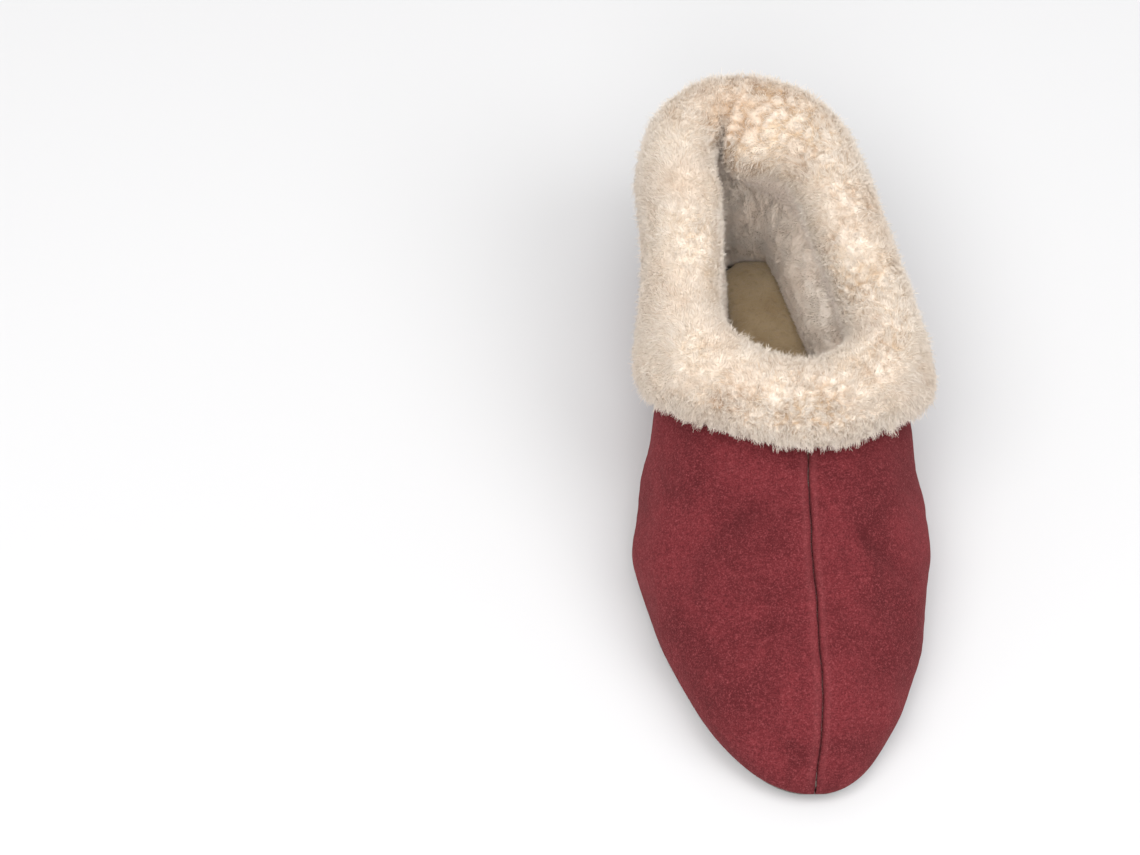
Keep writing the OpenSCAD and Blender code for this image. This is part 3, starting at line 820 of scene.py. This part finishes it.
FIBRE_RINGS, TIP_R = 3, 0.4             # points along a fibre; its tip's radius, as a share of its root's
FUZZ_LONG, FUZZ_R, FUZZ_ROOT = 2.0, 0.105, 0.35         # mm; roots lie this far inside the wool's body
TUFT_LONG, TUFT_R, TUFT_ROOT, TUFT_APART, TUFT_W = 3.7, 0.1, 2.6, 2.3, 0.75
PILE_LONG, PILE_R = 1.9, 0.11


def fibres(root, way, lean, long, radius):
    """Paths and radii of single fibres that start along way and lean over."""
    t = np.linspace(0, 1, FIBRE_RINGS)[None, :]
    tall = long[:, None] * t
    paths = root[:, None] + way[:, None] * (tall - 0.12 * tall * t)[..., None]
    paths = paths + lean[:, None] * (tall * t**0.6)[..., None]
    radii = (radius * rng.uniform(0.75, 1.25, len(root)))[:, None]
    return paths, radii * np.linspace(1, TIP_R, FIBRE_RINGS)[None, :]


def fuzz(collar, curls, spacing=0.62):
    """The fine fibres all over the wool: share round the ring, paths, radii and values for the look."""
    u, v = collar.places(spacing, 0.02)
    depth, value, tint, pressed = curls.relief(u, v)
    root = collar.at(u, v, depth + FUZZ_ROOT)
    out, down, side = collar.ways(u, v)
    curly, _, _ = curls.curly(root, u, v)
    count = len(u)
    turn = math.pi * (waves(root, 26, 41) + curly * waves(root, 5, 42)) + rng.normal(0, 0.45, count)
    lean = down * np.cos(turn)[:, None] + side * np.sin(turn)[:, None]
    lean = lean * (0.32 + 0.3 * curly + rng.normal(0, 0.16, count))[:, None]
    lean = lean + down * (0.5 * (1 - smooth(v / (0.2 * collar.skin.shape[1]))))[:, None]
    uneven = (0.25 + 0.4 * curly) * waves(root, 3.2, 99, 18)
    long = (FUZZ_LONG + uneven + rng.exponential(0.6, count)) * (1 - 0.3 * pressed)
    paths, radii = fibres(root, out, lean, np.clip(long, 0.9, 5), FUZZ_R)
    tint = np.clip(0.9 * tint - 0.1 + 0.15 * waves(root, 30, 47) + rng.normal(0, 0.12, count), 0, 1)
    return u / collar.skin.shape[0], paths, radii, value, tint, pressed


def edge_tufts(collar, many=24):
    """Longer, straighter tufts that hang over the suede from the turned-down edge."""
    u, v = collar.places(TUFT_APART, 0.0, 0.15)
    root = collar.at(u, v, TUFT_ROOT)
    out, down, side = collar.ways(u, v)
    turn = rng.normal(0, 0.28, len(u)) + 0.35 * waves(root, 14, 102)
    way = unit(down * np.cos(turn)[:, None] + side * np.sin(turn)[:, None] + 0.35 * out)
    long = TUFT_LONG + rng.normal(0, 0.45, len(u)) + 0.6 * waves(root, 9, 101)
    pick = np.repeat(np.arange(len(u)), many)
    count = len(pick)
    off = rng.normal(0, TUFT_W, (count, 3))
    off = off - way[pick] * dot(off, way[pick])
    lean = 0.12 * out[pick] + rng.normal(0, 0.13, (count, 3)) - off * 0.06
    tall = np.clip(long[pick] * rng.uniform(0.6, 1.1, count), 1.5, 6)
    paths, radii = fibres(root[pick] + off, way[pick], lean, tall, TUFT_R)
    tint = np.clip(rng.normal(0.6, 0.25, len(u)), 0, 1)
    # the tufts start at a low value, 0.42, in the tan colour: partly the roots' own tan, partly painted shade
    # under the collar's edge
    return u[pick] / collar.skin.shape[0], paths, radii, np.full(count, 0.42), tint[pick], np.zeros(count)


# ---- lining and footbed

LINING_ROWS, LINING_COLS, PILE_COUNT, LINING_LOWER = 90, 56, 13000, 2.2


def lining_in(q, k, side):
    """Depth of the lining's wool face under the form, at a share k of the way up its side."""
    slump = SLUMP * bell((side * q - SLUMP_AT) / SLUMP_AT) * sin(180 * k**0.6)
    thin = smooth((q - LINING_THINS[0]) / (LINING_THINS[1] - LINING_THINS[0]))
    full = LINING_T + LINING_SWELL * sin(180 * k) ** 2
    return LINING_OUT + full + (LINING_TOE_T - full) * thin + slump


def lining_top(k):
    """How much lower the lining's wool lies by its upper edge, to pass under the collar's."""
    return LINING_LOWER * smooth((k - 0.75) / 0.2)


def lining_panel(side, name):
    """Half the lining, shorn wool on its inner face."""
    q, top = panel_runs(LINING_DROP, LINING_ROWS, LINING_ROWS, PANEL_STOP)
    share = np.arange(LINING_COLS + 1) / LINING_COLS
    q = q[:, None] + 0 * share
    up = top[:, None] * share
    p = form(q, up, side)
    pile = 0.55 * waves(p, 9, 61) + 0.3 * waves(p, 3.4, 62, 20)
    outer = skin_at(q, up, side, -LINING_OUT)
    inner = skin_at(q, up, side, lining_top(share) - lining_in(q, share, side) + 0.3 + pile)
    near = bell(seam_distance(q, up, side) / 4)
    inner[..., 0] -= side * SEAM_HALF * near                # the wool closes over the seam
    points, quads = shell(outer, inner)
    return add_mesh(name, points, [quads])


def lining_pile(side, back):
    """Short fibres of the lining where the opening shows it, on the front or the back of one side."""
    count = PILE_COUNT
    share = rng.uniform(0.5 * back, 0.5 + 0.5 * back, count)
    q1, up1 = line_at(share, LINING_DROP)
    part = rng.uniform(0.12, 1, count)
    root = skin_at(q1, up1 * part, side, lining_top(part) - lining_in(q1, part, side) + 0.7)
    way = -form_n(q1, up1 * part, side)
    turn = math.pi * waves(root, 22, 71) + rng.normal(0, 0.5, count)
    rise = unit(np.array([0, 0, 1.0]) - way * way[:, 2:])
    lean = rise * np.cos(turn)[:, None] + np.cross(way, rise) * np.sin(turn)[:, None]
    long = PILE_LONG + 0.4 * waves(root, 4, 72) + rng.normal(0, 0.25, count)
    return fibres(root, way, 0.5 * lean, np.clip(long, 0.8, 3), PILE_R)


VOXEL, PRESSURE, PUFF_CAP, PUFF_STEPS = 4, 4, 1.2, 20      # the footbed's cloth; voxel and cap in mm


def apply_modifiers(obj):
    graph = bpy.context.evaluated_depsgraph_get()
    obj.data = bpy.data.meshes.new_from_object(obj.evaluated_get(graph))
    obj.modifiers.clear()


def puff(obj):
    """Remeshes obj evenly and blows it up a little as cloth, no point moving more than the cap."""
    remesh = obj.modifiers.new("even", "REMESH")
    remesh.mode = "VOXEL"
    remesh.voxel_size = VOXEL * MM
    apply_modifiers(obj)
    count = len(obj.data.vertices)
    start = np.zeros(count * 3)
    obj.data.vertices.foreach_get("co", start)
    cloth = obj.modifiers.new("cloth", "CLOTH")
    cloth.settings.quality = 6
    cloth.settings.use_pressure = True
    cloth.settings.uniform_pressure_force = PRESSURE
    cloth.settings.tension_stiffness = 20
    cloth.settings.bending_stiffness = 6
    cloth.settings.effector_weights.gravity = 0
    cloth.collision_settings.use_self_collision = False
    scene = bpy.context.scene
    for step in range(1, PUFF_STEPS + 1):
        scene.frame_set(step)
    blown = obj.evaluated_get(bpy.context.evaluated_depsgraph_get()).to_mesh()
    end = np.zeros(count * 3)
    blown.vertices.foreach_get("co", end)
    obj.modifiers.clear()
    scene.frame_set(1)
    move = (end - start).reshape(-1, 3)
    far = np.maximum(np.linalg.norm(move, axis=1, keepdims=True), 1e-9)
    move = move * np.minimum(1, PUFF_CAP * MM / far)
    obj.data.vertices.foreach_set("co", (start.reshape(-1, 3) + move).astype(np.float32).ravel())
    obj.data.update()
    obj.modifiers.new("fine", "SUBSURF").levels = 1
    apply_modifiers(obj)
    obj.data.shade_smooth()


# Rings of an edge, from below: how far each is moved in, and its height
FOOTBED_RINGS = ((1.0, 0.3), (-1.4, 1.4), (-2.2, 3.4), (-1.8, 5.0), (0.5, 6.2))
SOLE_RINGS = ((1.0, 0), (0.35, 0.15), (0.05, 0.6), (0, 1.2), (0.05, 1.8), (0.35, 2.25), (1.0, 2.4))


def footbed(name):
    """The sock's wool: a flat pad with a full, rounded edge."""
    rings = []
    for inset, z in FOOTBED_RINGS:
        edge = outline(FOOTBED_INSET + inset, 70, TOE_ROOM)
        rings.append(np.column_stack([edge, np.full(len(edge), PILE_Z + z)]))
    points, quads = stack(rings)
    pad = add_mesh(name, points, [quads])
    puff(pad)
    return pad


# ---- sole and threads

def outsole(name):
    """The thin suede sole, its cut edge softened."""
    rings = []
    for inset, z in SOLE_RINGS:
        edge = outline(inset + SOLE_SET, 260, TOE_SET)
        uneven = 0.16 * waves(np.column_stack([edge, 0 * edge[:, 0]]), 9, 81)
        middle = edge.mean(0)
        edge = edge - unit(edge - middle) * np.abs(uneven)[:, None]
        rings.append(np.column_stack([edge, np.full(len(edge), z)]))
    points, quads = stack(rings)
    return add_mesh(name, points, [quads])


def ladder(q, up, name, pitch=3.2, depth=1.0, bite=1.3, radius=0.33):
    """A thread laced to and fro across the closing gap, along a run of the seam."""
    middle = (skin_at(q, up, LATERAL, 0) + skin_at(q, up, MEDIAL, 0)) / 2
    steps = run_length(middle)
    count = int(steps[-1] / pitch)
    path = []
    for k in range(count):
        where = np.interp((k + 0.5) * pitch, steps, np.arange(len(q)))
        qk = np.interp(where, np.arange(len(q)), q)
        uk = np.interp(where, np.arange(len(q)), up)
        side = LATERAL if k % 2 else MEDIAL
        held, other = skin_at(qk, uk, side, -depth), skin_at(qk, uk, -side, -depth)
        over = np.array([side * bite * 0.5, 0, 0])
        sway = np.array([float(seam_bend(held[1])), 0, 0])
        path += [held + over + sway, other - over + sway]
    path = np.array(path)[None]
    points, faces, _ = strands(path, np.full(path.shape[:2], radius), THREAD_SIDES)
    return add_mesh(name, points, faces)


# ---- stage

AZIMUTH, ELEVATION, ROLL = -13.7, 54.5, 11.2
DISTANCE, LENS, SENSOR = 1300, 110.8, 36      # mm
AIM_RIGHT, AIM_UP = -86.6, 9.0                # where the view's middle lies from the slipper's, in mm
MIDDLE_Z = 35                                 # mm
LIT_POINT, FLOOR_HALF, FLOOR_Z = (0, 0, 0.04), 6, -0.0002     # metres
WORLD_LIGHT = 0.62


def camera():
    a, e, r = (math.radians(v) for v in (AZIMUTH, ELEVATION, ROLL))
    back = Vector((math.sin(a) * math.cos(e), -math.cos(a) * math.cos(e), math.sin(e)))
    flat_right = Vector((0, 0, 1)).cross(back).normalized()
    flat_up = back.cross(flat_right)
    right = flat_right * math.cos(r) + flat_up * math.sin(r)
    up = flat_up * math.cos(r) - flat_right * math.sin(r)
    target = Vector(SHIFT) + Vector((0, 0, MIDDLE_Z))
    place = target + back * DISTANCE
    aim = target + right * AIM_RIGHT + up * AIM_UP
    look = (place - aim).normalized()
    right = up.cross(look).normalized()
    up = look.cross(right)
    data = bpy.data.cameras.new("camera")
    data.lens, data.sensor_width, data.sensor_fit = LENS, SENSOR, "HORIZONTAL"
    data.clip_start, data.clip_end = 0.05, 20
    obj = add_object("camera", data)
    turn = Matrix((right, up, look)).transposed().to_4x4()
    obj.matrix_world = Matrix.Translation(place * MM) @ turn
    bpy.context.scene.camera = obj


def area_light(name, place, size, power, colour=(1, 1, 1)):
    data = bpy.data.lights.new(name, "AREA")
    data.shape, data.size, data.energy, data.color = "DISK", size, power, colour
    obj = add_object(name, data)
    obj.location = place
    obj.rotation_euler = (Vector(LIT_POINT) - Vector(place)).to_track_quat("-Z", "Y").to_euler()


def studio():
    world = bpy.data.worlds.new("studio")
    world.use_nodes = True
    world.node_tree.nodes["Background"].inputs["Color"].default_value = (1, 1, 1, 1)
    world.node_tree.nodes["Background"].inputs["Strength"].default_value = WORLD_LIGHT
    bpy.context.scene.world = world
    area_light("key", (-0.75, -0.6, 1.5), 1.0, 11, (1, 0.985, 0.965))
    area_light("front", (-0.25, -1.25, 1.2), 1.0, 10)
    area_light("top", (0, -0.2, 1.8), 1.0, 6.5)
    area_light("fill", (0.9, -0.5, 1.4), 1.2, 11)
    area_light("back", (0.2, 1.3, 1.1), 0.9, 1.5)
    bpy.context.scene.view_settings.view_transform = "Standard"
    mesh = bpy.data.meshes.new("floor")
    r = FLOOR_HALF
    mesh.from_pydata([(-r, -r, 0), (r, -r, 0), (r, r, 0), (-r, r, 0)], [], [(0, 1, 2, 3)])
    look = Look("floor_pale", 0.95, 0, specular=0.1)
    colour = look.mix(look.noise(300, 2), srgb(208, 208, 209), srgb(210, 210, 211))
    mesh.materials.append(look.finish(colour, look.bump(look.noise(2, 2), 0.02)))
    floor = add_object("floor", mesh)
    floor.location.z = FLOOR_Z


# ---- making it

def dress(obj, material, slot, *nodes):
    """Gives a piece its material, sets it on the body, and hides the CAD nodes it stands for; slot is not
    used.
    """
    obj.data.materials.clear()
    obj.data.materials.append(material)
    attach(obj, "root")
    if nodes:
        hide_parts(*nodes)
    return obj


def keep(node, material):
    """A CAD node that stays, with a better material."""
    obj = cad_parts[node]
    obj.data.materials.clear()
    obj.data.materials.append(material)


camera()
studio()

suede = suede_look()
fleece = fleece_look()
shorn = shorn_look("shorn_wool", srgb(254, 243, 231), srgb(249, 233, 218), srgb(228, 206, 186))
footbed_wool = shorn_look("footbed_wool", srgb(190, 167, 131), srgb(172, 148, 112), srgb(136, 112, 80))
hide = plain_look("hide_undyed", srgb(208, 190, 160), srgb(186, 164, 132), 1.5, 0.15)
red_thread = thread_look("thread_dark_red", srgb(98, 36, 40), srgb(66, 20, 24))
cream_thread = thread_look("thread_cream", srgb(214, 196, 168), srgb(176, 152, 120))
grey_thread = thread_look("thread_grey", srgb(132, 130, 124), srgb(96, 94, 88))

for side, word in ((LATERAL, "lateral"), (MEDIAL, "medial")):
    upper = dress(upper_panel(side, "suede_" + word), suede, "red_suede", "upper_" + word)
    lining = dress(lining_panel(side, "shorn_lining_" + word), shorn, "shorn_wool", "lining_" + word)

collar = Collar()
curls = Curls(collar)
body = dress(collar_base(collar, curls, "fleece_body"), fleece, "collar_fleece", "collar_wool")


def fleece_piece(name, paths, radii, value, tint, pressed):
    """Fibres as one piece; the tip value grows from the wool's value at the root."""
    points, faces, share = hairs(paths, radii)
    per = paths.shape[1] * HAIR_SIDES
    value, tint, pressed = (np.repeat(layer, per) for layer in (value, tint, pressed))
    # the fibres lighten from the value at the root toward the tip: partly the roots' own tan, partly painted
    # shade low in the pile
    layers = {"tip": value + (1 - value) * 0.6 * share, "tint": tint, "shorn": pressed}
    dress(add_mesh(name, points, faces, layers), fleece, "collar_fleece")


for name, sectors, (turn, *fields) in (
    ("fleece_fibres", 8, fuzz(collar, curls)),
    ("fleece_edge", 3, edge_tufts(collar)),
):
    for k in range(sectors):
        own = (turn >= k / sectors) & (turn < (k + 1) / sectors)
        fleece_piece(f"{name}_{k + 1}", *(part[own] for part in fields))

for side, word in ((LATERAL, "lateral"), (MEDIAL, "medial")):
    for part in ("front", "back"):
        points, faces, share = hairs(*lining_pile(side, part == "back"))
        dress(add_mesh(f"lining_pile_{word}_{part}", points, faces), shorn, "shorn_wool")

pad = dress(footbed("footbed_fleece"), footbed_wool, "shorn_wool", "footbed_wool")

dress(outsole("sole_suede"), sole_look(), "sole_suede", "outsole")

vamp_q = np.linspace(run_of_y(THROAT_Y), PANEL_STOP, 60)
vamp_thread = ladder(vamp_q, np.full(60, 90.0), "vamp_stitches")
dress(vamp_thread, red_thread, "red_thread", "vamp_seam_thread")
heel_up = np.linspace(0.04, 0.97, 40) * line_at(1.0, 0)[1]
dress(ladder(np.zeros(40), heel_up, "heel_stitches"), red_thread, "red_thread", "heel_seam_thread")

keep("midsole_foam", plain_look("foam", srgb(232, 226, 204), srgb(214, 206, 182), 1.2, 0.3))
keep("insole_board", plain_look("fibre_board", srgb(166, 138, 106), srgb(138, 110, 80), 0.8, 0.1))
keep("footbed_hide", hide)
keep("collar_hide", hide)
keep("heel_tape", plain_look("cotton_tape", srgb(206, 196, 172), srgb(178, 166, 140), 0.7, 0.1))
keep("sole_seam_thread", grey_thread)
keep("collar_seam_thread", cream_thread)
keep("collar_join_thread", cream_thread)
